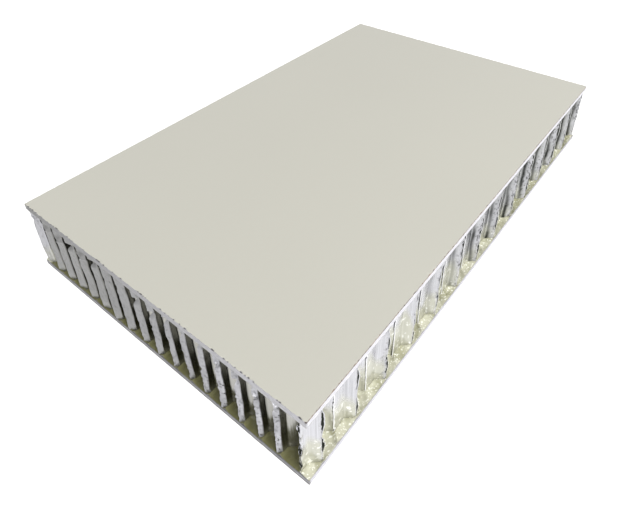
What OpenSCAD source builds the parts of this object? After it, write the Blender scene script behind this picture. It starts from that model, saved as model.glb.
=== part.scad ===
// Sawn sample of a bonded aluminium honeycomb panel. Two face sheets, two adhesive films and
// a core of corrugated foil ribbons that meet flat to flat on their bonded lines.
// Millimetres. Origin at the centre of the underside, X along the ribbons, Z up.

/* [Panel] */
// Length along the ribbons
panel_length = 175; // [80:1:320]
// Width across the ribbons
panel_width = 110; // [40:1:150]
// Height over both face sheets
panel_thickness = 25; // [10:0.5:50]

/* [Face sheets] */
// Thickness of the painted top sheet
top_sheet_thickness = 2; // [0.5:0.1:2.5]
// Thickness of the bare bottom sheet
bottom_sheet_thickness = 1.5; // [0.5:0.1:2.5]

/* [Adhesive films] */
// Thickness of each film under or over the foil ends
film_thickness = 0.3; // [0.1:0.05:0.6]
// How far a film stops short of the sawn sheet edges
film_setback = 0.15; // [0.05:0.05:0.5]

/* [Core] */
// Thickness of the foil
foil_thickness = 0.08; // [0.04:0.01:0.15]
// Length of one cell wall, bonded or free
wall_length = 3.95; // [3.2:0.05:6.5]
// Angle of a free wall to the ribbon direction, before the core is stretched to fit its width
fold_angle = 50; // [40:1:62]
// How far the foil stops short of the sawn sheet edges
core_setback = 0.4; // [0.2:0.05:0.8]
// From the front cut of the core to its first bonded line
first_line = 2.2; // [0.6:0.1:2.4]
// From the last bonded line to the rear cut of the core
last_strip = 0.9; // [0.5:0.1:2.4]
// Length of bonded flat left straight behind the ends that the left cut folded over
end_flat = 1.8; // [0.6:0.1:2.4]
// Depth of the folded ends, from the left cut to their crease
bend_depth = 1; // [0.4:0.05:1.5]
// Angle through which the left cut folded the ends of the bonded pairs
bend_angle = 62; // [20:1:70]

/* [Hidden] */
// Which node is drawn, or all of them
// Heights at which one layer ends and the next begins
z_film_bottom = bottom_sheet_thickness;
z_core_bottom = z_film_bottom + film_thickness;
z_core_top = panel_thickness - top_sheet_thickness - film_thickness;
z_film_top = panel_thickness - top_sheet_thickness;
// Outline of the core after sawing
core_length = panel_length - 2 * core_setback;
core_width = panel_width - 2 * core_setback;
// Whole steps from the first bonded line to the last, and the pitch that fills the core with them
bonded_width = core_width - first_line - last_strip;
line_steps = round(bonded_width / (wall_length * sin(fold_angle)));
line_pitch = bonded_width / line_steps;
// Run of a free wall along the ribbon
wall_run = sqrt(wall_length * wall_length - line_pitch * line_pitch);
// Half the foil, and the shift of a fold corner between the two faces of the foil
half_foil = foil_thickness / 2;
true_angle = atan2(line_pitch - foil_thickness, wall_run);
mitre = half_foil * tan(true_angle / 2);
// Length of foil drawn past the crease of a folded end, and free walls drawn for each ribbon, before sawing
bend_reach = (bend_depth + foil_thickness) / cos(bend_angle);
wall_count = ceil(core_length / (wall_length + wall_run));

// Names of the whole foil ribbons, counted from the front cut to the rear
function ribbon_name(k) = str("core_ribbon_", k < 10 ? "0" : "", k);

// Distance of a bonded line from the front cut
function line_y(m) = first_line + m * line_pitch;

// Ribbon k fills the step below bonded line k. The left cut crosses the flats of every second line.
// Here are the line of ribbon k whose flats it crosses, the side on which the ribbon leaves that line,
// and the middle of the foil on that line and on the ribbon's other line.
function cut_line(k) = k % 2 == 0 ? k : k - 1;
function leaves_to(k) = k % 2 == 0 ? -1 : 1;
function cut_y(k) = line_y(cut_line(k)) + leaves_to(k) * half_foil;
function other_y(k) = line_y(cut_line(k) + leaves_to(k)) - leaves_to(k) * half_foil;

// The pair nearest the front cut stayed straight, the others were folded towards the rear
function end_angle(m) = m == 0 ? 0 : bend_angle;

// Tip and crease of the end of ribbon k on one of its faces
function folded_end(k, side) =
  let (
    angle = end_angle(cut_line(k)),
    y = cut_y(k) + side * half_foil,
    crease = bend_depth + (y - line_y(cut_line(k))) * tan(angle / 2)
  )
  [[crease - bend_reach * cos(angle), y + bend_reach * sin(angle)], [crease, y]];

// One face of ribbon k. Side is 1 for the rear face and -1 for the front face.
function ribbon_face(k, side) =
  concat(
    folded_end(k, side),
    [
      for (i = [0 : wall_count])
        let (
          leaving = i % 2 == 0,
          x = bend_depth + end_flat + i * (wall_length + wall_run),
          shift = side * mitre * leaves_to(k) * (leaving ? -1 : 1),
          from_y = leaving ? cut_y(k) : other_y(k),
          to_y = leaving ? other_y(k) : cut_y(k)
        )
        for (p = [[x + shift, from_y + side * half_foil], [x + wall_run + shift, to_y + side * half_foil]]) p
    ]
  );

function reversed(list) = [for (i = [len(list) - 1 : -1 : 0]) list[i]];

// A flat rectangle centred on the panel, from height z0 to height z1
module layer(setback, z0, z1) {
  translate([-panel_length / 2 + setback, -panel_width / 2 + setback, z0])
    cube([panel_length - 2 * setback, panel_width - 2 * setback, z1 - z0]);
}

// Painted face sheet
module top_sheet() {
  color([0.80, 0.79, 0.74])
    layer(0, z_film_top, panel_thickness);
}

// Bare face sheet
module bottom_sheet() {
  color([0.75, 0.75, 0.77])
    layer(0, 0, z_film_bottom);
}

// Adhesive between the foil ends and the painted sheet
module top_film() {
  color([0.72, 0.70, 0.42])
    layer(film_setback, z_core_top, z_film_top);
}

// Adhesive between the foil ends and the bare sheet
module bottom_film() {
  color([0.72, 0.70, 0.42])
    layer(film_setback, z_film_bottom, z_core_bottom);
}

// One corrugated foil, sawn off at the outline of the core
module foil_ribbon(k) {
  color([0.82, 0.82, 0.84])
    intersection() {
      translate([-core_length / 2, -core_width / 2, z_core_bottom])
        linear_extrude(height = z_core_top - z_core_bottom)
          polygon(concat(ribbon_face(k, -1), reversed(ribbon_face(k, 1))));
      layer(core_setback, z_core_bottom, z_core_top);
    }
}

// Foil that the front cut opened lengthwise, a row of channels bonded to the first whole ribbon
module front_cut_ribbon() {
  foil_ribbon(0);
}

// Foil that the rear cut opened lengthwise, bonded to the last whole ribbon
module rear_cut_ribbon() {
  foil_ribbon(line_steps + 1);
}

top_sheet();
top_film();
bottom_film();
bottom_sheet();
front_cut_ribbon();
rear_cut_ribbon();
for (k = [1 : line_steps])
  foil_ribbon(k);
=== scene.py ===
import math
from types import SimpleNamespace

import bpy
import numpy as np
from mathutils import Matrix, Vector


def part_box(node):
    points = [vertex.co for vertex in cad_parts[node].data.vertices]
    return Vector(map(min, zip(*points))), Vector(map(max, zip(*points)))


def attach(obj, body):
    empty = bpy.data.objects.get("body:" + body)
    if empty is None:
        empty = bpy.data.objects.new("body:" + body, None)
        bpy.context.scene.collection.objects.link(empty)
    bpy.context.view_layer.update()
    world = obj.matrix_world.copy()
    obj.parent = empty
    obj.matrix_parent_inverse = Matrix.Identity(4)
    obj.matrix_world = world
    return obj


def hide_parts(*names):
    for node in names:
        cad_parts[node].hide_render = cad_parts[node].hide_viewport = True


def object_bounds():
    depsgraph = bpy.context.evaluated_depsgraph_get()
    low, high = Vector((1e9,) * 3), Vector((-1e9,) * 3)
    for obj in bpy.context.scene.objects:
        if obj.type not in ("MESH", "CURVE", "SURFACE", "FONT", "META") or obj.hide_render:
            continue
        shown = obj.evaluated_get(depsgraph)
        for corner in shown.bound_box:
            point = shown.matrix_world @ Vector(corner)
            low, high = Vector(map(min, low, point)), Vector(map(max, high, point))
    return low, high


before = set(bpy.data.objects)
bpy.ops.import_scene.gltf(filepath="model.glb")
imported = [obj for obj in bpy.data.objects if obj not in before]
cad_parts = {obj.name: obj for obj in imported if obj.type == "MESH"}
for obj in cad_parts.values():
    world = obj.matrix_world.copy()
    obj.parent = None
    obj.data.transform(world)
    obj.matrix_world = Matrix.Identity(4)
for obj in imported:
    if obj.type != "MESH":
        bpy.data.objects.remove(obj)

bl_info = {
    "name": "Honeycomb Panel Sample",
    "version": (1, 1, 0),
    "blender": (4, 5, 0),
    "location": "View3D > Sidebar > Panel Sample",
    "description": "Dresses a sawn sample of aluminium honeycomb panel: "
                   "face sheets, foil core and adhesive",
    "category": "Object",
}

CAD_LOW, CAD_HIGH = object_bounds()
RIBBONS = sorted(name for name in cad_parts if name.startswith("core_ribbon_"))
LEFT, RIGHT = "left", "right"
MM = 1000.0


def length(name, description, default):
    """A length that a user can set, in metres."""
    return bpy.props.FloatProperty(
        name=name, description=description, default=default, precision=5, unit="LENGTH")


def colour(name, description, default):
    return bpy.props.FloatVectorProperty(
        name=name, description=description, subtype="COLOR", size=3, default=default)


class PanelSizes(bpy.types.PropertyGroup):
    """Sizes of the foil, the adhesive and the saw's marks."""

    foil_thickness: length("Foil", "Thickness of the core foil", 0.00008)
    wall_length: length("Cell wall", "Length of one cell wall", 0.00395)
    end_flat: length(
        "End flat", "Bonded flat left straight behind the folded ends at the left cut", 0.0018)
    bend_depth: length(
        "Crease depth", "Depth of the folded ends, from the left cut to their crease", 0.001)
    bend_angle: bpy.props.FloatProperty(
        name="Fold angle", description="Angle through which the left cut folded the bonded pairs",
        default=math.radians(62), subtype="ANGLE")
    fold_radius: length("Fold", "Half the width over which a cell corner rounds off", 0.00022)
    wander: length("Wander", "How far the cells stray from an even grid", 0.0003)
    pushed: length("Push", "How far the saw pushed the first walls towards the left cut", 0.00055)
    curl: length("Curl", "How far the saw pushed a straight foil edge over", 0.0005)
    split: length("Split", "Widest gap where a sawn edge has come apart", 0.0014)
    lip: length("Lip", "Width of the lips that the long cuts turned over", 0.0005)
    tear: length("Tear", "Depth of the tears in a sawn foil edge", 0.00016)
    nick: length("Nick", "Depth of the nicks in the painted edge", 0.00026)
    resin_rise: length("Fillet", "How far the adhesive climbs the foil", 0.0009)
    bead: length("Bead", "Radius of the largest beads of adhesive", 0.00034)


class PanelColours(bpy.types.PropertyGroup):
    """Colours of the finishes."""

    paint: colour("Paint", "Satin coating of the top sheet", (0.578, 0.567, 0.498))
    primer: colour("Primer", "Line of primer under the paint", (0.24, 0.15, 0.09))
    sheet: colour("Sheet", "Bare aluminium sheet", (0.75, 0.74, 0.79))
    foil: colour("Foil", "Bright aluminium foil", (0.57, 0.57, 0.60))
    resin: colour("Resin", "Cured adhesive", (0.50, 0.49, 0.33))
    # Painted shade: near black, laid on gaps, creases and strips that stand for the shade in the
    # cells
    painted_shade: colour("Bond", "Dark inside of a gaping edge", (0.017, 0.019, 0.015))
    floor: colour("Floor", "White ground under the sample", (0.60, 0.60, 0.60))


# Shared helpers. Lengths inside the mesh code are millimetres.

# How the noise hashes a lattice point, and how far apart two seeds or edges read it
HASH_AXES = np.array([374761393, 668265263, 1440662683])
HASH_MIX = 1274126177
HASH_HALF = 32767.5
SEED_STEP = 31.7
NOISE_ORIGIN = 1000.0
EDGE_STEP = 17.3
EDGE_SEED = 3


def node_box(node):
    """Lower and upper corner of a CAD node, in millimetres."""
    return [np.array(p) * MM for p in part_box(node)]


def ease(x):
    """A soft step from 0 to 1."""
    x = np.clip(x, 0.0, 1.0)
    return x * x * (3.0 - 2.0 * x)


def stepped(first, last, step):
    """Places from first to last, about a step apart."""
    return np.linspace(first, last, max(2, int(round((last - first) / step)) + 1))


def soft_noise(points, size, seed):
    """Smooth noise from -1 to 1 at the points, with bumps of about the given size."""
    q = np.asarray(points, dtype=float) / size + SEED_STEP * seed + NOISE_ORIGIN
    cell = np.floor(q).astype(np.int64)
    f = ease(q - cell)
    total = np.zeros(len(q))
    for corner in range(8):
        step = np.array([corner & 1, corner >> 1 & 1, corner >> 2 & 1])
        n = (cell + step) @ HASH_AXES
        n = ((n ^ (n >> 13)) * HASH_MIX) & 0x7FFFFFFF
        n = n ^ (n >> 15)
        weight = np.prod(np.where(step == 1, f, 1.0 - f), axis=1)
        total += weight * ((n & 0xFFFF) / HASH_HALF - 1.0)
    return total


def relief(points, layers):
    """The sum of layers of noise, each given by its depth, the size of its bumps and its seed."""
    return sum(depth * soft_noise(points, size, seed) for depth, size, seed in layers)


def up_noise(height, size, seed):
    """Noise up one edge, its own for each seed."""
    place = np.stack(
        [np.full_like(height, EDGE_STEP * seed), np.zeros_like(height), height], axis=1)
    return soft_noise(place, size, EDGE_SEED)


# Where a trait of the foil begins along the front cut, and the length over which it grows
BUCKLED = (-20.0, 60.0)
FAR = (-10.0, 45.0)
CRUSHED = (-30.0, 70.0)
# Painted shade in the creases of the channels sets in from here
SHADED_CREASE = (-62.0, 70.0)
GAPING = (-10.0, 60.0)


def growth(x, trait):
    """How far one of those traits has grown at the place x, from 0 to 1."""
    begin, reach = trait
    return ease((x - begin) / reach)


# How the foil strays, and how far from the cuts and its glued feet it is dented
FOLD_STEPS = 5
WANDER_SIZE = 9.0
PUSH_REACH = 9.0
DENT_REACH = 7.0
BUCKLE_REACH = 6.0
HELD_HEIGHT = 2.5
DENTS = ((0.12, 4.5, 3), (0.035, 1.7, 4))
BUCKLE = 0.16


def core_layout(sizes):
    """Where the sawn core lies and how its cells repeat, in millimetres."""
    low, high = node_box(RIBBONS[0])
    wall = sizes.wall_length * MM
    pitch = high[1] - low[1]
    run = math.sqrt(wall * wall - pitch * pitch)
    end = (sizes.bend_depth + sizes.end_flat) * MM
    as_set = ("bend_depth", "pushed", "wander", "curl", "split", "lip", "tear")
    return SimpleNamespace(
        left=low[0], right=high[0], bottom=low[2], top=high[2],
        front=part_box("front_cut_ribbon")[0].y * MM,
        rear=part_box("rear_cut_ribbon")[1].y * MM,
        first=low[1], pitch=pitch, wall=wall, run=run, repeat=2.0 * (wall + run),
        count=len(RIBBONS), start=low[0] + end - wall,
        half=sizes.foil_thickness * MM / 2.0,
        fold=sizes.fold_radius * MM, bend_angle=sizes.bend_angle,
        **{name: getattr(sizes, name) * MM for name in as_set})


def even_foil(core, k, x):
    """Middle of ribbon k on an even grid. Ribbon k fills the step below bonded line k."""
    offset = core.start + (core.repeat / 2.0 if (k - 1) % 2 else 0.0)
    bends = [0.0, core.wall, core.wall + core.run, 2.0 * core.wall + core.run, core.repeat]
    wave = np.zeros_like(x)
    for shift in np.linspace(-core.fold, core.fold, FOLD_STEPS):
        place = (x + shift - offset) % core.repeat
        wave += np.interp(place, bends, [0.0, 0.0, 1.0, 1.0, 0.0]) / FOLD_STEPS
    low = core.first + (k - 1) * core.pitch + core.half
    return low + wave * (core.pitch - 2.0 * core.half)


def wandering_foil(core, k, x):
    """Middle of ribbon k, its cells strayed from the even grid alike on both sides of a bonded
    line.
    """
    place = np.stack([x, even_foil(core, k, x), np.zeros_like(x)], axis=1)
    along = (x + core.wander * soft_noise(place, WANDER_SIZE, 1)
             + core.pushed * ease(1.0 - (x - core.left) / PUSH_REACH))
    return even_foil(core, k, along) + core.wander * soft_noise(place, WANDER_SIZE, 2)


def crumple(core, x, y, z):
    """Dents and buckles that the saw left near the cuts. Adhesive holds the foil at both sheets."""
    depth = np.minimum(np.minimum(x - core.left, core.right - x),
                       np.minimum(y - core.front, core.rear - y))
    fade = ease(1.0 - depth / DENT_REACH)
    held = ease(np.minimum(z - core.bottom, core.top - z) / HELD_HEIGHT)
    buckled = growth(x, BUCKLED) * ease(1.0 - (y - core.front) / BUCKLE_REACH)
    ridge = soft_noise(np.stack([x, y, z * 0.28], axis=1), 1.5, 5)
    dents = relief(np.stack([x, y, z * 0.6], axis=1), DENTS)
    return fade * held * (dents + BUCKLE * buckled * ridge)


def foil_place(core, k, x, z):
    """Where ribbon k runs at the places x and heights z, dents included."""
    flat_x, flat_z = x.ravel(), np.broadcast_to(z, x.shape).ravel()
    y = wandering_foil(core, k, flat_x)
    return (y + crumple(core, flat_x, y, flat_z)).reshape(x.shape)


def lenses(height, core, seed, widest):
    """Lens-shaped openings up a sawn edge, pinched together between one and the next."""
    rng = np.random.default_rng(seed)
    count = rng.integers(2, 4)
    shares = np.arange(count + 1) / count + rng.uniform(-0.08, 0.08, count + 1)
    ends = core.bottom + (core.top - core.bottom) * shares
    gap = np.zeros_like(height)
    for a, b in zip(ends[:-1], ends[1:]):
        along = (height - a) / (b - a)
        peak = rng.uniform(0.3, 0.7)
        lens = np.clip(np.minimum(along / peak, (1.0 - along) / (1.0 - peak)), 0.0, 1.0)
        opening = widest * rng.uniform(0.35, 1.0)
        gap = np.maximum(gap, opening * np.sin(lens * math.pi / 2.0) ** 1.6)
    ragged = (1.0 + 0.35 * up_noise(height, 1.3, seed + 0.2)
              + 0.25 * up_noise(height, 0.6, seed + 0.4))
    return gap * ragged


def torn(core, height, seed):
    """How far a sawn foil edge is torn back at each height."""
    notch = np.clip(up_noise(height, 1.6, seed) - 0.45, 0.0, 1.0) * 2.6
    fine = up_noise(height, 0.9, seed + 0.3) + 0.6 * up_noise(height, 0.45, seed + 0.6)
    return core.tear * (0.4 + fine + 3.0 * notch)


def flop(core, height, seed):
    """How far a straight foil edge leans to one side at each height, most near the top sheet."""
    high = ease((height - core.top + 6.0) / 4.0) * ease((core.top - height) / 1.2)
    low = ease((height - core.bottom) / 2.5)
    return core.curl * low * (0.7 * up_noise(height, 4.0, seed)
                              + 1.3 * high * up_noise(height, 2.2, seed + 0.5))


# Marks that the foil carries for its finish: painted shade, crinkles and a painted highlight
MARKS = ("painted_shade", "crush", "rim")
FOIL_SMOOTH = math.radians(50)
SHEET_SMOOTH = math.radians(35)


def select_only(obj):
    bpy.ops.object.select_all(action="DESELECT")
    obj.select_set(True)
    bpy.context.view_layer.objects.active = obj


def shaped_grid(x, y, z, painted_shade=None, crush=None, rim=None):
    """A sheet of faces through places by column and row, with its marks and its vertex numbers."""
    columns, rows = x.shape
    bpy.ops.mesh.primitive_grid_add(
        x_subdivisions=columns - 1, y_subdivisions=rows - 1, size=1.0)
    obj = bpy.context.object
    flat = np.empty(len(obj.data.vertices) * 3)
    obj.data.vertices.foreach_get("co", flat)
    flat = flat.reshape(-1, 3)
    across = np.rint((flat[:, 0] + 0.5) * (columns - 1)).astype(int)
    up = np.rint((flat[:, 1] + 0.5) * (rows - 1)).astype(int)
    order = np.empty(x.shape, dtype=int)
    order[across, up] = np.arange(len(flat))
    places = [np.broadcast_to(axis, x.shape).ravel() for axis in (x, y, z)]
    points = np.empty((order.size, 3))
    points[order.ravel()] = np.stack(places, axis=1) / MM
    obj.data.vertices.foreach_set("co", points.ravel())
    for name, mark in zip(MARKS, (painted_shade, crush, rim)):
        values = np.zeros(order.size)
        if mark is not None:
            values[order.ravel()] = mark.ravel()
        obj.data.attributes.new(name, "FLOAT", "POINT").data.foreach_set("value", values)
    obj.data.update()
    return obj, order


def cut_holes(obj, order, hole):
    """Deletes the faces with at least three corners where the foil is pierced."""
    pierced = np.zeros(order.size, dtype=bool)
    pierced[order.ravel()] = hole.ravel()
    corners = np.empty(len(obj.data.loops), dtype=int)
    obj.data.loops.foreach_get("vertex_index", corners)
    lost = pierced[corners.reshape(-1, 4)].sum(axis=1) >= 3
    if not lost.any():
        return
    select_only(obj)
    bpy.ops.object.mode_set(mode="EDIT")
    bpy.ops.mesh.select_mode(type="FACE")
    bpy.ops.mesh.select_all(action="DESELECT")
    bpy.ops.object.mode_set(mode="OBJECT")
    obj.data.polygons.foreach_set("select", lost)
    bpy.ops.object.mode_set(mode="EDIT")
    bpy.ops.mesh.delete(type="FACE")
    bpy.ops.object.mode_set(mode="OBJECT")


def thicken(obj, thickness, offset=0.0):
    """Gives a sheet of faces its thickness, in metres."""
    select_only(obj)
    bpy.ops.object.modifier_add(type="SOLIDIFY")
    wall = obj.modifiers[-1]
    wall.thickness = thickness
    wall.offset = offset
    bpy.ops.object.modifier_apply(modifier=wall.name)


def join(pieces, name):
    """Joins the pieces into one object of that name, smooth except over its rims."""
    select_only(pieces[0])
    for piece in pieces[1:]:
        piece.select_set(True)
    bpy.ops.object.join()
    obj = bpy.context.object
    obj.name = obj.data.name = name
    bpy.ops.object.shade_smooth_by_angle(angle=FOIL_SMOOTH)
    return obj


def finish_piece(obj, node, material):
    """Dresses a piece in its material and puts it in the place of its CAD node."""
    obj.data.materials.clear()
    obj.data.materials.append(material)
    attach(obj, "root")
    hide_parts(node)


# Materials. Lengths inside them are metres.

class Shading:
    """A node tree whose nodes are added one call at a time."""

    def __init__(self, tree, place):
        self.nodes = tree.nodes
        self.links = tree.links
        self.place = self.add("TexCoord").outputs[place]

    def wire(self, value, socket):
        if isinstance(value, bpy.types.NodeSocket):
            self.links.new(value, socket)
        else:
            socket.default_value = value

    def fill(self, node, inputs):
        for name, value in inputs.items():
            self.wire(value, node.inputs[name.replace("_", " ")])
        return node

    def add(self, kind, **inputs):
        """A new node with values or links on its inputs."""
        return self.fill(self.nodes.new("ShaderNode" + kind), inputs)

    def noise(self, scale, detail=2.0, roughness=0.5):
        place = self.add("Mapping", Vector=self.place, Scale=scale).outputs["Vector"]
        node = self.add("TexNoise", Vector=place, Scale=1.0, Detail=detail, Roughness=roughness)
        return node.outputs["Fac"]

    def axis(self, name):
        return self.add("SeparateXYZ", Vector=self.place).outputs[name]

    def attribute(self, name):
        node = self.add("Attribute")
        node.attribute_name = name
        return node.outputs["Fac"]

    def maths(self, operation, a, b=0.0):
        node = self.add("Math")
        node.operation = operation
        self.wire(a, node.inputs[0])
        self.wire(b, node.inputs[1])
        return node.outputs[0]

    def times(self, a, b):
        return self.maths("MULTIPLY", a, b)

    def plus(self, a, b):
        return self.maths("ADD", a, b)

    def from_middle(self, name):
        """Distance from the middle of the panel along one axis."""
        return self.maths("ABSOLUTE", self.axis(name))

    def spread(self, value, low, high, to_low=0.0, to_high=1.0, smooth=False):
        node = self.add("MapRange", Value=value, From_Min=low, From_Max=high,
                        To_Min=to_low, To_Max=to_high)
        node.interpolation_type = "SMOOTHSTEP" if smooth else "LINEAR"
        return node.outputs["Result"]

    def blend(self, factor, a, b):
        node = self.add("Mix", Factor=factor)
        node.data_type = "RGBA"
        for value, socket in ((a, node.inputs[6]), (b, node.inputs[7])):
            is_socket = isinstance(value, bpy.types.NodeSocket)
            self.wire(value if is_socket else (*value, 1.0), socket)
        return node.outputs[2]

    def mottle(self, noise, low, high, tint, shade_low, shade_high):
        """Shades of one tint by a noise."""
        return self.blend(self.spread(noise, low, high),
                          shade(tint, shade_low), shade(tint, shade_high))

    def white_when_seen(self, lit, seen):
        """Lit for light that falls on things, seen for what the eye, metal and glass look at."""
        path = self.add("LightPath").outputs
        looked_at = self.maths("MAXIMUM", path["Is Camera Ray"], path["Is Glossy Ray"])
        looked_at = self.maths("MAXIMUM", looked_at, path["Is Transmission Ray"])
        return self.spread(looked_at, 0.0, 1.0, lit, seen)


class Finish(Shading):
    """A node material laid out on the object's own coordinates."""

    def __init__(self, name):
        self.material = bpy.data.materials.new(name)
        self.material.use_nodes = True
        super().__init__(self.material.node_tree, "Object")
        self.shader = self.nodes["Principled BSDF"]

    def set(self, **values):
        self.fill(self.shader, values)

    def bump(self, height, strength, distance):
        node = self.add("Bump", Height=height, Strength=strength, Distance=distance)
        self.set(Normal=node.outputs["Normal"])


def shade(tint, factor):
    return tuple(c * factor for c in tint)


# Tints that the finishes mix with the colours a user can set
# Painted light and shade on the foil: lit along the long cuts and greyer towards the far end,
# shaded elsewhere
FOIL_FAR = (0.400, 0.406, 0.394)
FOIL_SHADED = ((0.36, 0.355, 0.33), (0.42, 0.415, 0.395))
# Painted shade on the bonded flats behind the left cut
FOIL_FLAT_SHADE = (0.19, 0.188, 0.165)
# Painted highlight on the trimmed left edges of the channels
FOIL_RIM_HIGHLIGHT = (0.93, 0.93, 0.95)
# Adhesive on the foil with a painted reflection of the adhesive floor, with more painted light
# inside the recesses than at the open side
GLAZE_AND_REFLECTION = ((0.75, 0.745, 0.630), (0.52, 0.518, 0.420))
# Painted shade at the foot of the foil
FOOT_SHADE = (0.27, 0.268, 0.170)
# Painted glints on the foil
GLAZE_GLINT = (0.92, 0.92, 0.87)
# Painted light on the adhesive along the long cuts, near and far
RESIN_LIT = ((0.62, 0.615, 0.500), (0.45, 0.445, 0.330))
# Patches of painted shade on the adhesive along the long cuts
RESIN_SHADE_PATCH = (0.26, 0.255, 0.140)
# Painted shade on the adhesive at the foot of the foil
RESIN_FOOT_SHADE = (0.21, 0.208, 0.120)
# Painted glints on the adhesive
RESIN_GLINT = (0.90, 0.90, 0.82)
# Painted shade on the cell floors behind the left cut
RESIN_FLOOR_SHADE = (0.165, 0.160, 0.072)
# Painted shade on the short edges of the painted sheet
EDGE_SHADE = (0.12, 0.12, 0.115)
PAINT_CHIP = (0.10, 0.095, 0.10)
# Darker along the lower rim of the bare sheet's short edges
SHEET_RIM_DARK = (0.09, 0.08, 0.075)

# Distances from the middle over which the strips along the long cuts set in
FOIL_STRIP = (0.0478, 0.0496)
RESIN_STRIP = (0.0480, 0.0500)
OPEN_GLAZE_AND_REFLECTION = (0.0512, 0.0518)
OPEN_RESIN = (0.0516, 0.0524)
# Places along the panel over which these strips turn to their far tint
FOIL_LENGTH = (-0.05, 0.05)
RESIN_LENGTH = (-0.03, 0.05)
# Places behind the left cut over which the painted shade of the bonded flats and of the floor of
# the cells sets in
END_FLATS = (-0.0845, -0.0850)
CELL_FLOOR = (-0.0785, -0.0810)


def foil_finish(colours):
    """Rolled foil, crinkled where crushed, with a film of adhesive at its foot. Painted light along
    the long cuts, painted shade elsewhere and in gaps, creases and pits, a painted reflection of
    the adhesive floor low on it, and a painted highlight on cut edges.
    """
    f = Finish("Core foil")
    x, z, off = f.axis("X"), f.axis("Z"), f.from_middle("Y")
    streak = f.noise((2600.0, 2600.0, 45.0), detail=3.0)
    patch = f.noise((330.0, 330.0, 120.0))
    crinkle = f.noise((1150.0, 1150.0, 900.0), detail=4.0, roughness=0.62)
    edge = f.noise((320.0, 320.0, 60.0), detail=1.5)
    splash = f.noise((150.0, 150.0, 40.0), detail=1.5)
    glint = f.noise((1000.0, 1000.0, 800.0), detail=1.0)
    painted_shade, crush, rim = (f.attribute(name) for name in MARKS)
    outer = f.spread(off, *FOIL_STRIP, smooth=True)
    far = f.spread(x, *FOIL_LENGTH)

    # Clean foil, with painted light along the long cuts that greys towards the far end, and painted
    # shade elsewhere, darkest on the bonded flats behind the left cut
    lit_foil = f.mottle(streak, 0.32, 0.62, colours.foil, 0.80, 1.03)
    lit_foil = f.blend(far, lit_foil, FOIL_FAR)
    shaded_foil = f.blend(f.spread(patch, 0.35, 0.7), *FOIL_SHADED)
    shaded_foil = f.blend(f.spread(x, *END_FLATS), shaded_foil, FOIL_FLAT_SHADE)
    tint = f.blend(outer, shaded_foil, lit_foil)

    # Adhesive that climbed it, and above that a painted reflection of the adhesive floor, with more
    # painted light inside the recesses, painted shade at its foot and painted glints
    climb = f.times(outer, f.spread(far, 0.0, 1.0, 1.0, 0.22))
    glaze_and_reflection_top = f.plus(f.spread(edge, 0.25, 0.75, 0.0022, 0.0042),
                      f.times(climb, f.spread(splash, 0.3, 0.7, 0.0040, 0.0130)))
    glaze_and_reflection = f.spread(f.maths("SUBTRACT", z, glaze_and_reflection_top), -0.0028, 0.0028, 1.0, 0.0, smooth=True)
    glaze_and_reflection = f.times(glaze_and_reflection, f.spread(outer, 0.0, 1.0, 0.35, 0.82))
    glaze_and_reflection_tint = f.blend(f.spread(off, *OPEN_GLAZE_AND_REFLECTION), *GLAZE_AND_REFLECTION)
    glaze_and_reflection_tint = f.blend(f.spread(z, 0.0042, 0.0022, 0.0, 0.50, smooth=True), glaze_and_reflection_tint, FOOT_SHADE)
    glint = f.times(f.times(f.spread(glint, 0.61, 0.69), outer), glaze_and_reflection)
    with_glaze_and_reflection = f.blend(glint, f.blend(glaze_and_reflection, tint, glaze_and_reflection_tint), GLAZE_GLINT)

    # Crushed foil, pitted, in a mottled tone of wear with painted shade, darker towards the rear,
    # and painted shade in its pits
    worn_and_shaded = f.mottle(patch, 0.35, 0.65, colours.foil, 0.62, 0.92)
    worn_and_shaded = f.blend(f.spread(f.axis("Y"), -0.04, 0.02), worn_and_shaded, shade(colours.foil, 0.50))
    # Painted shade in the pits, deeper along the long cuts
    pit = f.mottle(outer, 0.0, 1.0, colours.foil, 0.36, 0.14)
    pitted = f.blend(f.spread(crinkle, f.spread(outer, 0.0, 1.0, 0.34, 0.40), 0.47), pit, worn_and_shaded)

    # Painted highlight on the rims, the crushed tint where crushed
    tint = f.blend(rim, f.blend(crush, with_glaze_and_reflection, pitted), FOIL_RIM_HIGHLIGHT)
    # Less metal under painted shade and painted highlight, and little reflection in painted shade
    shade_or_highlight = f.maths("MAXIMUM", painted_shade, rim)
    rough = f.plus(f.times(crush, 0.22), f.times(painted_shade, 0.7))
    f.set(Base_Color=f.blend(painted_shade, tint, colours.painted_shade),
          Metallic=f.maths("SUBTRACT", f.spread(glaze_and_reflection, 0.0, 1.0, 1.0, 0.4), shade_or_highlight),
          Roughness=f.plus(f.spread(streak, 0.3, 0.7, 0.15, 0.24), rough),
          Specular_IOR_Level=f.spread(painted_shade, 0.0, 1.0, 0.5, 0.05))
    rolled = f.times(f.plus(streak, f.times(patch, 2.0)), 0.2)
    f.bump(f.plus(rolled, f.times(f.times(crinkle, crush), 3.4)), 1.0, 0.0001)
    return f.material


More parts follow.
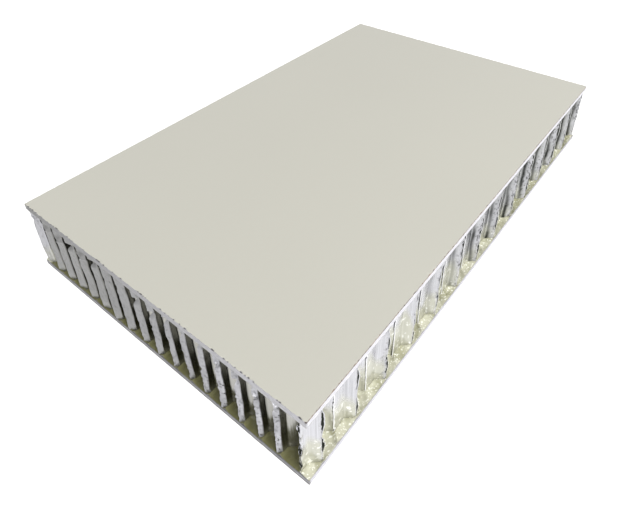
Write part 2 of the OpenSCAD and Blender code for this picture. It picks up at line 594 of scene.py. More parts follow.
def resin_finish(colours):
    """Cured yellow-green adhesive, glossy and cloudy. Along the long cuts it has painted light,
    patches of painted shade and painted shade at the foot of the foil; painted glints as flecks;
    painted shade on the cell floors behind the left cut.
    """
    f = Finish("Adhesive")
    x, z, off = f.axis("X"), f.axis("Z"), f.from_middle("Y")
    cloud = f.noise((260.0, 260.0, 260.0), detail=4.0)
    fleck = f.noise((1700.0, 1700.0, 1700.0))
    shade_patch_noise = f.noise((230.0, 230.0, 230.0))
    outer = f.spread(off, *RESIN_STRIP, smooth=True)
    tint = f.mottle(cloud, 0.3, 0.7, colours.resin, 0.68, 1.15)
    # Painted light along the long cuts, less towards the far end
    lit_resin = f.blend(f.spread(x, *RESIN_LENGTH), *RESIN_LIT)
    tint = f.blend(f.times(outer, 0.70), tint, lit_resin)
    # Patches of painted shade
    shade_patches = f.spread(shade_patch_noise, 0.49, 0.62, 0.0, 0.62)
    tint = f.blend(f.times(outer, shade_patches), tint, RESIN_SHADE_PATCH)
    # Painted shade at the foot of the foil
    foot = f.spread(z, 0.0021, 0.0027, 0.0, 0.55, smooth=True)
    tint = f.blend(f.times(outer, foot), tint, RESIN_FOOT_SHADE)
    # Painted glints
    glinted = f.blend(f.spread(fleck, 0.58, 0.66), tint, RESIN_GLINT)
    # Painted shade on the cell floors behind the left cut
    floor = f.times(f.spread(x, *CELL_FLOOR, smooth=True), f.spread(off, *OPEN_RESIN, 1.0, 0.0))
    f.set(Base_Color=f.blend(floor, glinted, RESIN_FLOOR_SHADE),
          Roughness=f.spread(cloud, 0.3, 0.7, 0.12, 0.30), IOR=1.55)
    f.bump(f.plus(cloud, f.times(fleck, 0.4)), 0.5, 0.0004)
    return f.material


def painted_finish(colours):
    """Satin coating on the upper face, a line of primer under it, and bare metal on sawn edges,
    with painted shade on the short edges, deeper towards the rear.
    """
    f = Finish("Painted sheet")
    z, top = f.axis("Z"), CAD_HIGH.z
    peel = f.noise((700.0, 700.0, 700.0))
    drift = f.noise((9.0, 9.0, 9.0))
    grain = f.noise((800.0, 800.0, 1900.0), detail=4.0)
    dots = f.noise((780.0, 780.0, 60.0), detail=1.0)
    paint = f.mottle(drift, 0.3, 0.7, colours.paint, 0.985, 1.015)
    metal = f.mottle(grain, 0.3, 0.7, colours.sheet, 0.74, 1.08)
    coated = f.spread(z, top - 0.00006, top - 0.00003)
    primed = f.spread(z, top - 0.00042, top - 0.00036)
    long_side = f.spread(f.from_middle("Y"), CAD_HIGH.y - 0.0006, CAD_HIGH.y - 0.0004)
    short_side = f.spread(f.from_middle("X"), CAD_HIGH.x - 0.0006, CAD_HIGH.x - 0.0004)
    # Painted shade on the short edges, deeper towards the rear
    end_shade = f.spread(f.axis("Y"), -0.04, 0.05, 0.34, 0.92)
    metal = f.blend(f.times(short_side, end_shade), metal, EDGE_SHADE)
    primer = f.blend(f.spread(dots, 0.35, 0.6), colours.primer, shade(colours.primer, 0.25))
    edge = f.blend(f.times(primed, long_side), metal, primer)
    f.set(Base_Color=f.blend(f.attribute("chip"), f.blend(coated, edge, paint), PAINT_CHIP),
          Metallic=f.spread(primed, 0.0, 1.0, 0.30, 0.0),
          Roughness=f.spread(primed, 0.0, 1.0, 0.46, 0.38))
    f.bump(f.blend(primed, grain, peel), 0.12, 0.0002)
    return f.material


def bare_finish(colours):
    """Mill finish sheet with painted shade on its short edges, darker still along their lower rim.
    """
    f = Finish("Bare sheet")
    grain = f.noise((60.0, 3000.0, 3000.0), detail=3.0)
    stain = f.noise((160.0, 160.0, 160.0), detail=3.0)
    metal = f.mottle(grain, 0.3, 0.7, colours.sheet, 0.70, 0.82)
    # Painted shade on the short edges
    shaded_side = f.mottle(stain, 0.35, 0.65, colours.sheet, 0.38, 0.26)
    short_side = f.spread(f.from_middle("X"), CAD_HIGH.x - 0.0006, CAD_HIGH.x - 0.0003)
    metal = f.blend(short_side, metal, shaded_side)
    # Darker along the lower rim of the short edges
    rim = f.times(f.spread(f.axis("Z"), 0.0008, 0.0003, 0.0, 0.85), short_side)
    f.set(Base_Color=f.blend(rim, metal, SHEET_RIM_DARK), Metallic=0.30,
          Roughness=f.spread(stain, 0.3, 0.7, 0.38, 0.52))
    f.bump(grain, 0.15, 0.0001)
    return f.material


# Stage

# Turn, rise and roll of the photograph's camera, its place from the near corner of the painted
# sheet, and its focal length in pixels of the photograph
CAMERA_TURN, CAMERA_RISE, CAMERA_ROLL = (math.radians(a) for a in (-140.89, 33.79, -1.08))
CAMERA_PLACE = Vector((-0.04529, -0.04170, 0.10826))
CAMERA_SHIFT = -0.18
FOCAL_PIXELS, PICTURE_WIDTH, SENSOR_WIDTH = 563.2, 640.0, 36.0
CLIP_START, CLIP_END = 0.005, 20.0
FLOOR_SIZE, FLOOR_GAP = 6.0, 0.00002
FLOOR_SEEN, SKY_SEEN = 0.72, 1.0
# Strength of the sky's light at the horizon and from a height upwards
DOME_LOW, DOME_HIGH, DOME_RISE = 0.22, 0.60, 0.6
KEY_PLACE = (-0.33, -0.90, 0.70)
KEY_TARGET = Vector((0.0, 0.0, 0.01))
KEY_SIZE, KEY_POWER = 0.7, 13.0
WHITE = (1.0, 1.0, 1.0, 1.0)


def add_ground(colours):
    """A wide white plane just under the sample."""
    bpy.ops.mesh.primitive_plane_add(
        size=FLOOR_SIZE, location=(0.0, 0.0, CAD_LOW.z - FLOOR_GAP))
    floor = bpy.context.object
    floor.name = "ground"
    finish = Finish("White ground")
    finish.set(Base_Color=(*colours.floor, 1.0), Roughness=0.9, Emission_Color=WHITE,
               Emission_Strength=finish.white_when_seen(0.0, FLOOR_SEEN))
    floor.data.materials.append(finish.material)


def add_sky():
    """A white dome, stronger from above."""
    world = bpy.data.worlds.new("Soft studio")
    world.use_nodes = True
    bpy.context.scene.world = world
    sky = Shading(world.node_tree, "Generated")
    background = sky.nodes["Background"]
    dome = sky.spread(sky.axis("Z"), 0.0, DOME_RISE, DOME_LOW, DOME_HIGH)
    sky.wire(WHITE, background.inputs["Color"])
    sky.wire(sky.white_when_seen(dome, SKY_SEEN), background.inputs["Strength"])


def add_key_light():
    """A large soft light on the side of the long cut."""
    bpy.ops.object.light_add(type="AREA", location=KEY_PLACE)
    key = bpy.context.object
    key.name = "key_light"
    key.data.shape = "SQUARE"
    key.data.size = KEY_SIZE
    key.data.energy = KEY_POWER
    key.rotation_mode = "QUATERNION"
    key.rotation_quaternion = (key.location - KEY_TARGET).to_track_quat("Z", "Y")


def add_camera():
    """The camera of the photograph, from its near corner's side."""
    near = Vector((CAD_LOW.x, CAD_LOW.y, CAD_HIGH.z))
    flat = math.cos(CAMERA_RISE)
    back = Vector((flat * math.cos(CAMERA_TURN), flat * math.sin(CAMERA_TURN),
                   math.sin(CAMERA_RISE)))
    right = Vector((0.0, 0.0, 1.0)).cross(back).normalized()
    up = back.cross(right)
    cos, sin = math.cos(CAMERA_ROLL), math.sin(CAMERA_ROLL)
    right, up = cos * right + sin * up, cos * up - sin * right
    bpy.ops.object.camera_add(location=near + CAMERA_PLACE)
    camera = bpy.context.object
    camera.rotation_mode = "QUATERNION"
    camera.rotation_quaternion = Matrix((right, up, back)).transposed().to_quaternion()
    camera.data.sensor_width = SENSOR_WIDTH
    camera.data.lens = FOCAL_PIXELS * SENSOR_WIDTH / PICTURE_WIDTH
    camera.data.shift_y = CAMERA_SHIFT
    camera.data.clip_start = CLIP_START
    camera.data.clip_end = CLIP_END
    bpy.context.scene.camera = camera


class PANEL_OT_stage(bpy.types.Operator):
    """Sets up the white ground, the soft light and the camera"""

    bl_idname = "panel_sample.stage"
    bl_label = "Stage"

    def execute(self, context):
        add_ground(context.scene.panel_colours)
        add_sky()
        add_key_light()
        add_camera()
        context.scene.view_settings.view_transform = "Standard"
        return {"FINISHED"}


# Face sheets

# Faces round a plate: their length, the heights of their rings from the underside or, from zero
# down, from the upper side, the room under that, and the rings on the upper side
RIM_STEP = 0.28
RIM_LEVELS = (0.3, 0.8, 1.4, -0.36, -0.14, 0.0)
RIM_ROOM = 0.4
RIM_INSETS = (0.28, 0.5, 0.5)
# Axis, inward direction and wear of a plate's left, right, front and rear side
SIDES = ((0, 1.0, 1.0), (0, -1.0, 0.7), (1, 1.0, 0.35), (1, -1.0, 0.35))
ON_SIDE = 0.01
SAW_MARK, CHIP_DROP, CHIP_HEIGHT = 0.04, 0.16, 0.3


def outline_places(low, high):
    """Places all round a rectangle, evenly spaced along each side, in millimetres."""
    corners = [(low[0], low[1]), (high[0], low[1]), (high[0], high[1]), (low[0], high[1])]
    places = []
    for (x0, y0), (x1, y1) in zip(corners, corners[1:] + corners[:1]):
        count = int(round((abs(x1 - x0) + abs(y1 - y0)) / RIM_STEP))
        share = np.arange(count) / count
        places.append(np.stack([x0 + share * (x1 - x0), y0 + share * (y1 - y0)], axis=1))
    return np.concatenate(places)


def extrude_up(distance):
    bpy.ops.mesh.extrude_region_move(TRANSFORM_OT_translate={"value": (0.0, 0.0, distance)})


def sheet_plate(node, name):
    """A sawn plate with rings of short faces round its edge, drawn up from its outline."""
    low, high = node_box(node)
    outline = outline_places(low, high)
    bpy.ops.mesh.primitive_circle_add(vertices=len(outline), fill_type="NGON")
    obj = bpy.context.object
    obj.name = obj.data.name = name
    spots = np.column_stack([outline, np.full(len(outline), low[2])]) / MM
    obj.data.vertices.foreach_set("co", spots.ravel())
    obj.data.update()
    span = high - low
    levels = sorted({v if v > 0.0 else span[2] + v for v in RIM_LEVELS if v < span[2] - RIM_ROOM})
    bpy.ops.object.mode_set(mode="EDIT")
    bpy.ops.mesh.select_all(action="SELECT")
    for below, level in zip([0.0, *levels], levels):
        extrude_up((level - below) / MM)
    for inset in RIM_INSETS:
        extrude_up(0.0)
        bpy.ops.transform.resize(
            value=(1.0 - 2.0 * inset / span[0], 1.0 - 2.0 * inset / span[1], 1.0))
    bpy.ops.mesh.poke()
    bpy.ops.mesh.select_all(action="SELECT")
    bpy.ops.mesh.normals_make_consistent(inside=False)
    bpy.ops.object.mode_set(mode="OBJECT")
    return obj


def rough_rim(obj, node, nick):
    """Saw marks all round the plate, and fine nicks along the edge of its paint."""
    low, high = node_box(node)
    count = len(obj.data.vertices)
    p = np.empty(count * 3)
    obj.data.vertices.foreach_get("co", p)
    p = p.reshape(-1, 3) * MM
    lying_on = [np.abs(p[:, axis] - (low if inward > 0.0 else high)[axis]) < ON_SIDE
                for axis, inward, _ in SIDES]
    upper = p[:, 2] > high[2] - ON_SIDE
    rim = upper & np.any(lying_on, axis=0)
    mark = SAW_MARK + SAW_MARK * soft_noise(p * np.array([1.0, 1.0, 0.25]), 0.9, 11)
    flat = p * np.array([1.0, 1.0, 0.0])
    tooth = np.clip(soft_noise(flat, 0.62, 12) + 0.1, 0.0, 1.0)
    bite = soft_noise(flat, 0.44, 13) + 0.15 * soft_noise(flat, 3.0, 14) - 0.34
    bite = np.clip(bite, 0.0, 0.5) / 0.5
    chip = np.zeros(count)
    for (axis, inward, wear), on in zip(SIDES, lying_on):
        depth = mark
        if nick > 0.0:
            depth = mark + np.where(upper, nick * wear * (tooth + bite), 0.0)
            chip = np.where(on, np.maximum(chip, wear * ease(bite * 2.2 - 0.2)), chip)
        p[on, axis] += inward * depth[on]
    p[:, 2] = np.minimum(p[:, 2], high[2]) - np.where(rim, CHIP_DROP * chip, 0.0)
    obj.data.vertices.foreach_set("co", (p / MM).ravel())
    obj.data.update()
    if nick > 0.0:
        layer = obj.data.attributes.new("chip", "FLOAT", "POINT")
        layer.data.foreach_set("value", np.where(p[:, 2] > high[2] - CHIP_HEIGHT, chip, 0.0))


class PANEL_OT_sheets(bpy.types.Operator):
    """Models the painted top sheet and the bare bottom sheet with their sawn edges"""

    bl_idname = "panel_sample.sheets"
    bl_label = "Face sheets"

    def execute(self, context):
        sizes, colours = context.scene.panel_sizes, context.scene.panel_colours
        nick = sizes.nick * MM
        for node, name, finish, slot, depth in (
                ("top_sheet", "painted_sheet", painted_finish(colours), "paint", nick),
                ("bottom_sheet", "bare_sheet", bare_finish(colours), "sheet", 0.0)):
            obj = sheet_plate(node, name)
            rough_rim(obj, node, depth)
            select_only(obj)
            bpy.ops.object.shade_smooth_by_angle(angle=SHEET_SMOOTH)
            finish_piece(obj, node, finish)
        return {"FINISHED"}


# Core

# Length of a ribbon's end, and how finely ends, flaps and channels are divided
END_REACH = 10.0
FOLDED_ROWS, FOLDED_COLUMNS, FLAP_COLUMNS = 60, 24, 15
STRAIGHT_ROWS, STRAIGHT_COLUMNS = 44, 26
CHANNEL_ROWS, CHANNEL_STEP = 46, 0.28
# Step along and rows up the middle of a ribbon beside a long cut and of any other
BESIDE_CUT = (0.42, 26)
WITHIN = (1.2, 4)

# Seeds of the ends on each bonded line, of their openings, and of the channels
FOLDED_SEED, FOLDED_SEED_STEP = 50, 3
STRAIGHT_SEED, STRAIGHT_SEED_STEP = {LEFT: 7, RIGHT: 113}, 200
LENS_SEED = 5
CHANNEL_SEED, CHANNEL_SEED_STEP, REAR_SEED = 9000, 40, 4000

# Folded ends: how the angle differs over the width, by chance and with height, the degrees by
# which a part of an end is turned further, and the limits of a flap
FOLD_SPREAD, FOLD_CHANCE, FOLD_WAVE = (math.radians(a) for a in (22.0, 4.0, 8.0))
TURNED = (0.0, 42.0, 55.0, -38.0)
FOLD_ARC = 0.5
SHORTEST_FLAP, LONGEST_FLAP = 0.7, 3.1
FLAP_PLACE = 9.0
FLAP_DENTS = ((0.13, 1.4, 31), (0.06, 0.6, 32))
FLAP_PITS = ((1.0, 0.55, 33), (0.5, 1.6, 34))
PROUD_LIMIT = 0.32
# Straight ends: how far behind the cut they lean, and how the lean sets in
END_LEAN, CHANNEL_LEAN, LEAN_POWER = 1.9, 1.4, 1.7

# Channels: how they are traced and trimmed back on their left, their crease of painted shade and
# rim of painted highlight, and the strip that gapes behind each of them, painted dark as shade
TRACE_STEP = 0.02
SHORTEST_CHANNEL = 0.5
TRIM_NEAR, TRIM_LOSS = 1.45, 1.2
CREASE_BACK, CREASE_WIDTH, CREASE_DARKEST = 1.5, 0.44, 0.95
RIM_WIDTH = 0.42
CUT_OVERHANG = 0.2
GAP_SHARES = np.array([0.0, 0.35, 0.7, 0.86, 0.88, 1.0])
GAP_DARK, GAP_ROOT, GAP_SET, GAP_DEPTH, GAP_ROOM = 0.87, 0.25, 0.12, 0.42, 2.5


def end_columns(count):
    """Shares of the way from a cut edge to the plain part of a ribbon, closer at the edge."""
    return np.linspace(0.0, 1.0, count) ** 1.3


def folded_end(core, k):
    """The end of ribbon k at the left cut, folded over to the rear with its bonded neighbour."""
    line = k if k % 2 == 0 else k - 1
    behind = k != line
    seed = FOLDED_SEED + FOLDED_SEED_STEP * line
    rng = np.random.default_rng(seed)
    line_y = core.first + line * core.pitch
    wear = 0.30 + 0.70 * ease((30.0 - line_y) / 70.0)
    wide = ease((line_y + 22.0) / 48.0)
    height = np.linspace(core.bottom, core.top, FOLDED_ROWS)

    # How the end is folded and how long it is at each height
    crease = core.bend_depth + 0.14 * up_noise(height, 5.0, seed)
    angle = core.bend_angle + FOLD_SPREAD * (wide - 0.45) + FOLD_CHANCE * rng.uniform(-1.0, 1.0)
    reach = min(core.bend_depth / math.cos(angle), LONGEST_FLAP)
    angle = angle + FOLD_WAVE * wear * up_noise(height, 3.2, seed + 1)
    middle = core.top - rng.uniform(2.2, 5.5)
    turned = ease((height - middle + 1.4) / 1.2) * ease((middle + 1.5 - height) / 0.9)
    angle = angle + math.radians(rng.choice(TURNED)) * turned
    flap = reach + rng.uniform(-0.1, 0.2) - 0.3 * turned
    tear = np.clip(torn(core, height, seed + k), 0.0, 0.6)
    flap = flap + wear * 0.16 * up_noise(height, 1.1, seed + 2) - wear * tear
    flap = np.maximum(flap, SHORTEST_FLAP)

    # The flap, from its crease to its tip
    share = np.linspace(0.0, 1.0, FLAP_COLUMNS)
    arc = share[:, None] * flap
    lean = angle * ease(arc / FOLD_ARC)
    step = np.diff(arc, axis=0)
    mean = (lean[1:] + lean[:-1]) / 2.0
    start = np.zeros((1, FOLDED_ROWS))
    x = core.left + crease - np.concatenate([start, np.cumsum(np.cos(mean) * step, axis=0)])
    root = foil_place(core, k, core.left + crease, height)
    y = root + np.concatenate([start, np.cumsum(np.sin(mean) * step, axis=0)])
    place = np.stack([arc.ravel(), np.full(arc.size, FLAP_PLACE * line),
                      np.tile(height, FLAP_COLUMNS)], axis=1)
    proud = wear * ease(arc / 0.6) * relief(place, FLAP_DENTS).reshape(arc.shape)
    if behind:
        gap = 0.2 * wear * np.clip(up_noise(height, 2.5, seed + 4), 0.0, 1.0)
        proud = proud + share[:, None] * (0.03 + gap)
    offset = core.half if behind else -core.half
    x = x + (offset + proud) * np.sin(lean)
    y = y + offset * (np.cos(lean) - 1.0) + proud * np.cos(lean)
    x = np.maximum(x, core.left - PROUD_LIMIT)
    pit = relief(place, FLAP_PITS).reshape(arc.shape)
    hole = (pit > 1.02 - 0.30 * wear) & (arc > 0.25) & (arc < 1.4)

    # The foil behind the crease
    inner = end_columns(FOLDED_COLUMNS)[1:]
    x_in = core.left + crease + inner[:, None] * (END_REACH - crease)
    y_in = foil_place(core, k, x_in, height)
    crush = ease(arc / FOLD_ARC) * (0.35 + 0.65 * wear)
    obj, order = shaped_grid(
        np.concatenate([x[::-1], x_in]), np.concatenate([y[::-1], y_in]), height,
        crush=np.concatenate([crush[::-1], np.zeros(x_in.shape)]))
    cut_holes(obj, order, np.concatenate([hole[::-1], np.zeros(x_in.shape, dtype=bool)]))
    return obj


def straight_end(core, k, side):
    """The end of ribbon k where it stayed straight: torn, leaning, partly split off its pair."""
    height = np.linspace(core.bottom, core.top, STRAIGHT_ROWS)
    front_foil = (k % 2 == 0) == (side == LEFT)
    line = k if front_foil else k - 1
    seed = STRAIGHT_SEED_STEP * line + STRAIGHT_SEED[side]
    tear = torn(core, height, seed + (1 if front_foil else 2))
    lean = flop(core, height, seed)
    gap = lenses(height, core, seed + LENS_SEED, 0.5 * core.split)
    gap = gap * (-0.6 if front_foil else 0.4)
    share = end_columns(STRAIGHT_COLUMNS)
    inside = tear + share[:, None] * (END_REACH - tear)
    x = core.left + inside if side == LEFT else core.right - inside
    bend = np.clip(1.0 - share * END_REACH / END_LEAN, 0.0, 1.0) ** LEAN_POWER
    y = foil_place(core, k, x, height) + bend[:, None] * (lean + gap)
    return shaped_grid(x, y, height)[0]


def end_gap(core):
    """A strip painted dark as the shade inside the straight pair nearest the front cut, whose edges
    have come apart.
    """
    height = np.linspace(core.bottom, core.top, STRAIGHT_ROWS)
    seed = STRAIGHT_SEED[LEFT]
    share = np.array([-0.5, 0.0, 0.5])
    gap = lenses(height, core, seed + LENS_SEED, 0.8 * core.split)
    sway = 0.3 * up_noise(height, 4.0, seed) * core.curl
    y = core.first + share[:, None] * gap + sway
    x = np.full(y.shape, core.left + GAP_SET)
    return shaped_grid(x, y, height, painted_shade=np.ones(y.shape))[0]


def plain_foil(core, k, first, last, step, rows):
    """A length of ribbon k away from the ends."""
    x, z = np.meshgrid(
        stepped(first, last, step), np.linspace(core.bottom, core.top, rows), indexing="ij")
    return shaped_grid(x, foil_place(core, k, x, z), z)[0]


class PANEL_OT_ribbons(bpy.types.Operator):
    """Models the whole foil ribbons of the core"""

    bl_idname = "panel_sample.ribbons"
    bl_label = "Foil ribbons"

    def execute(self, context):
        sizes, colours = context.scene.panel_sizes, context.scene.panel_colours
        core = core_layout(sizes)
        finish = foil_finish(colours)
        for k, node in enumerate(RIBBONS, start=1):
            middle = plain_foil(core, k, core.left + END_REACH, core.right - END_REACH,
                                *(BESIDE_CUT if k in (1, core.count) else WITHIN))
            left = straight_end(core, k, LEFT) if k == 1 else folded_end(core, k)
            parts = [left, middle, straight_end(core, k, RIGHT)]
            if k == 1:
                parts.append(end_gap(core))
            for part in parts:
                thicken(part, sizes.foil_thickness)
            finish_piece(join(parts, node + "_foil"), node, finish)
        return {"FINISHED"}


def open_channels(core, k, rear):
    """Stretches of ribbon k that a lengthwise cut leaves standing, as pairs of places along it."""
    x = np.arange(core.left, core.right + TRACE_STEP / 2.0, TRACE_STEP)
    y = wandering_foil(core, k, x)
    kept = y < core.rear if rear else y > core.front
    edges = np.flatnonzero(np.diff(kept.astype(int)))
    bounds = [0, *(edges + 1), len(x)]
    stretches = [(x[a], x[b - 1]) for a, b in zip(bounds[:-1], bounds[1:]) if kept[a]]
    return [(first, last) for first, last in stretches if last - first > SHORTEST_CHANNEL]


def in_the_cut(core, y, height, rear, seed):
    """Holds the foil to a wavy plane just inside a long cut, as the saw turned it over there."""
    wave = 0.10 + 0.08 * up_noise(height, 2.4, seed)
    if rear:
        return np.minimum(y, core.rear - wave)
    return np.maximum(y, core.front + wave)


def channel_foil(core, k, first, last, rear, seed):
    """One channel of a ribbon that was cut lengthwise, its upright edges turned over into lips."""
    height = np.linspace(core.bottom, core.top, CHANNEL_ROWS)
    at_end = first < core.left + 0.1
    to_end = last > core.right - 0.1
    far = growth(first, FAR)
    start = first + torn(core, height, seed + 1)
    if not at_end:
        start = start + TRIM_NEAR - TRIM_LOSS * far + 0.2 * up_noise(height, 6.0, seed)
    stop = last - torn(core, height, seed + 2) + (0.0 if to_end else core.lip)
    columns = max(8, int(round((last - first) / CHANNEL_STEP)))
    share = np.linspace(0.0, 1.0, columns)
    x = start + share[:, None] * (stop - start)
    along = x if at_end else np.maximum(x, start + core.lip)
    y = in_the_cut(core, foil_place(core, k, along, height), height, rear, seed + 5)
    if at_end:
        pair = STRAIGHT_SEED[LEFT]
        gap = lenses(height, core, pair + LENS_SEED, 0.5 * core.split)
        bend = np.clip(1.0 - (x - start) / CHANNEL_LEAN, 0.0, 1.0) ** LEAN_POWER
        y = y + bend * (flop(core, height, pair) - 0.6 * gap)

    # Crushed towards its right edge, with painted shade in the crease before it and a painted
    # highlight along its left edge
    rough = ease(1.4 * np.random.default_rng(seed).uniform(-0.3, 1.0))
    width = 0.5 + 1.3 * growth(first, CRUSHED) + 1.2 * rough
    uneven = 0.75 + 0.35 * up_noise(height, 3.0, seed + 6)
    crush = ease(1.15 - (stop - x) / width) * uneven
    place = np.stack([x.ravel(), np.full(x.size, 5.0), np.tile(height, columns)], axis=1)
    dent = 0.34 * rough * soft_noise(place, 0.9, 41).reshape(x.shape) * crush
    y = np.clip(y + dent, core.front - CUT_OVERHANG, core.rear + CUT_OVERHANG)
    sway = 0.3 * up_noise(height, 5.0, seed + 8)
    crease = (last - CREASE_BACK - x + sway) / CREASE_WIDTH
    crease_shade = growth(first, SHADED_CREASE) * (0.95 + 0.5 * up_noise(height, 3.5, seed + 9))
    painted_shade = np.clip(np.exp(-crease ** 2) * crease_shade, 0.0, CREASE_DARKEST)
    rim = ease(1.25 - (x - start) / RIM_WIDTH) * (0.0 if at_end else 1.0 - far)
    return shaped_grid(x, y, height, painted_shade=painted_shade, crush=np.clip(crush, 0.0, 1.0), rim=rim)[0]


def gaping_edge(core, last, rear, seed):
    """A strip behind a turned lip that gapes open in lenses, painted dark inside as shade and plain
    foil at its edge.
    """
    height = np.linspace(core.bottom, core.top, CHANNEL_ROWS)
    share = GAP_SHARES
    gaping = growth(last, GAPING)
    widest = core.split * (1.0 + 0.6 * gaping)
    always = np.random.default_rng(seed).uniform(0.1, 1.0) * gaping
    reach = core.lip + GAP_SET + always + lenses(height, core, seed + 10, widest)
    x = last - GAP_ROOT + share[:, None] * (GAP_ROOT + reach)
    depth = GAP_DEPTH * (1.0 - share ** 2)[:, None] + GAP_SET
    depth = depth + 0.05 * up_noise(height, 1.2, seed + 11)
    y = core.rear - depth if rear else core.front + depth
    painted_shade = np.repeat((share < GAP_DARK).astype(float)[:, None], CHANNEL_ROWS, axis=1)
    return shaped_grid(x, y, height, painted_shade=painted_shade)[0]


class PANEL_OT_cut_ribbons(bpy.types.Operator):
    """Models the two foils that the long cuts opened into rows of channels"""

    bl_idname = "panel_sample.cut_ribbons"
    bl_label = "Cut ribbons"

    def execute(self, context):
        sizes = context.scene.panel_sizes
        core = core_layout(sizes)
        finish = bpy.data.materials["Core foil"]
        for node, k, rear in (
                ("front_cut_ribbon", 0, False), ("rear_cut_ribbon", core.count + 1, True)):
            parts = []
            for i, (first, last) in enumerate(open_channels(core, k, rear)):
                seed = CHANNEL_SEED + CHANNEL_SEED_STEP * i + (REAR_SEED if rear else 0)
                parts.append(channel_foil(core, k, first, last, rear, seed))
                if last < core.right - GAP_ROOM:
                    parts.append(gaping_edge(core, last, rear, seed))
            for part in parts:
                thicken(part, sizes.foil_thickness)
            finish_piece(join(parts, node + "_foil"), node, finish)
        return {"FINISHED"}


# Adhesive

# Width of the finely divided band along the cuts, the steps in it and within, and how much thinner
# the dressed film is than the CAD film, to leave room for its hollows
BAND, FINE_STEP, COARSE_STEP = 9.0, 0.42, 3.0
FILM_GAP = 0.12
FILM_SWELL = ((0.10, 2.2, 23), (0.05, 0.7, 24))
FILLET_REACH = 0.42
FAR_FROM_FOIL = 9.0
SLOPE_STEP = 0.1
BEADS, BEAD_SEED, BEADS_IN_FRONT = 150, 77, 0.7


def foil_distance(core, x, y):
    """Distance from each place to the nearest foil, near enough for a fillet."""
    nearest = np.full(len(x), FAR_FROM_FOIL)
    step = np.floor((y - core.first) / core.pitch).astype(int) + 1
    for k in range(0, core.count + 2):
        near = np.abs(step - k) <= 1
        if not near.any():
            continue
        xs = x[near]
        here, after, before = (
            wandering_foil(core, k, xs + shift) for shift in (0.0, SLOPE_STEP, -SLOPE_STEP))
        slope = (after - before) / (2.0 * SLOPE_STEP)
        away = np.abs(y[near] - here) / np.sqrt(1.0 + slope * slope)
        nearest[near] = np.minimum(nearest[near], away)
    return nearest


def film_height(core, x, y, rise):
    """How far the adhesive stands above its film at each place, most in fillets along the foil."""
    flat = np.stack([x, y, np.zeros_like(x)], axis=1)
    climb = np.exp(-foil_distance(core, x, y) / FILLET_REACH)
    uneven = 0.75 + 0.45 * soft_noise(flat, 2.6, 21) + 0.25 * soft_noise(flat, 0.8, 22)
    return relief(flat, FILM_SWELL) + rise * climb * np.clip(uneven, 0.1, 1.6)


def film_patch(core, low, high, step, rise):
    """One stretch of the upper side of the bottom film."""
    x, y = np.meshgrid(*(stepped(low[i], high[i], step) for i in (0, 1)), indexing="ij")
    z = core.bottom + film_height(core, x.ravel(), y.ravel(), rise).reshape(x.shape)
    return shaped_grid(x, y, z)[0]


def resin_beads(core, rise, largest):
    """Beads of adhesive along the foot of the front and left cells, copied from one small ball."""
    rng = np.random.default_rng(BEAD_SEED)
    bpy.ops.mesh.primitive_ico_sphere_add(subdivisions=2, radius=1.0)
    ball = bpy.context.object
    shape = np.array([v.co for v in ball.data.vertices])
    beads = []
    for _ in range(BEADS):
        if rng.uniform() < BEADS_IN_FRONT:
            x = rng.uniform(core.left + 1.0, core.right - 1.0)
            y = core.front + rng.uniform(0.3, 4.6)
        else:
            x = core.left + rng.uniform(0.6, 4.5)
            y = rng.uniform(core.front + 1.0, core.rear - 1.0)
        radius = largest * rng.uniform(0.35, 1.0)
        level = core.bottom + film_height(core, np.array([x]), np.array([y]), rise)[0]
        bead = ball.copy()
        bead.data = ball.data.copy()
        squash = np.array([1.0, 1.0, rng.uniform(0.6, 1.0)])
        spots = np.array([x, y, level]) + shape * radius * squash
        bead.data.vertices.foreach_set("co", (spots / MM).ravel())
        bpy.context.collection.objects.link(bead)
        beads.append(bead)
    select_only(ball)
    bpy.ops.object.delete()
    return beads


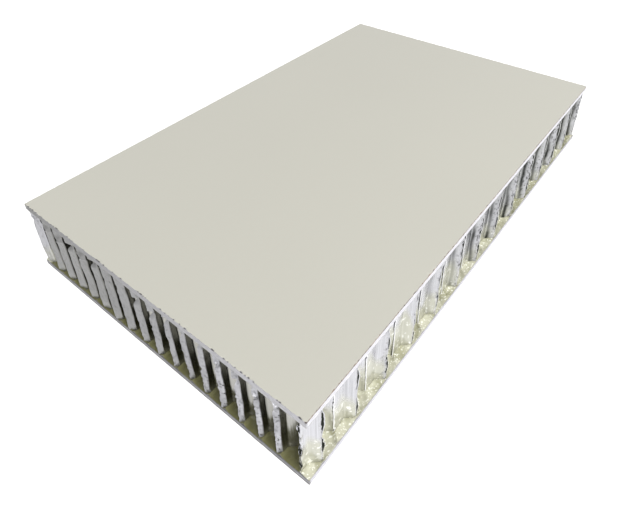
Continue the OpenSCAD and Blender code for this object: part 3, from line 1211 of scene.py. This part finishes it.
class PANEL_OT_adhesive(bpy.types.Operator):
    """Models the adhesive films with their fillets and dresses the hidden one"""

    bl_idname = "panel_sample.adhesive"
    bl_label = "Adhesive films"

    def execute(self, context):
        sizes, colours = context.scene.panel_sizes, context.scene.panel_colours
        core = core_layout(sizes)
        finish = resin_finish(colours)
        low, high = node_box("bottom_film")
        rise = sizes.resin_rise * MM
        (left, front), (right, rear) = low[:2], high[:2]
        patches = [
            ((left, front), (right, front + BAND), FINE_STEP),
            ((left, rear - BAND), (right, rear), FINE_STEP),
            ((left, front + BAND), (left + BAND, rear - BAND), FINE_STEP),
            ((right - BAND, front + BAND), (right, rear - BAND), FINE_STEP),
            ((left + BAND, front + BAND), (right - BAND, rear - BAND), COARSE_STEP),
        ]
        parts = [film_patch(core, a, b, step, rise) for a, b, step in patches]
        for part in parts:
            thicken(part, (high[2] - low[2] - FILM_GAP) / MM, -1.0)
        parts += resin_beads(core, rise, sizes.bead * MM)
        finish_piece(join(parts, "adhesive_film"), "bottom_film", finish)
        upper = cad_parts["top_film"]
        upper.data.materials.clear()
        upper.data.materials.append(finish)
        return {"FINISHED"}


class PANEL_PT_sample(bpy.types.Panel):
    """Lists the steps that dress the sample"""

    bl_label = "Panel Sample"
    bl_idname = "PANEL_PT_sample"
    bl_space_type = "VIEW_3D"
    bl_region_type = "UI"
    bl_category = "Panel Sample"

    def draw(self, context):
        layout = self.layout
        for step in STEPS:
            layout.operator(step.bl_idname)
        for group in (context.scene.panel_sizes, context.scene.panel_colours):
            box = layout.box()
            for name in group.__annotations__:
                box.prop(group, name)


STEPS = (PANEL_OT_stage, PANEL_OT_sheets, PANEL_OT_ribbons, PANEL_OT_cut_ribbons,
         PANEL_OT_adhesive)
CLASSES = (PanelSizes, PanelColours, *STEPS, PANEL_PT_sample)


def register():
    for cls in CLASSES:
        bpy.utils.register_class(cls)
    bpy.types.Scene.panel_sizes = bpy.props.PointerProperty(type=PanelSizes)
    bpy.types.Scene.panel_colours = bpy.props.PointerProperty(type=PanelColours)


def unregister():
    del bpy.types.Scene.panel_colours
    del bpy.types.Scene.panel_sizes
    for cls in reversed(CLASSES):
        bpy.utils.unregister_class(cls)


def main():
    register()
    bpy.ops.panel_sample.stage()
    bpy.ops.panel_sample.sheets()
    bpy.ops.panel_sample.ribbons()
    bpy.ops.panel_sample.cut_ribbons()
    bpy.ops.panel_sample.adhesive()


if __name__ == "__main__":
    main()
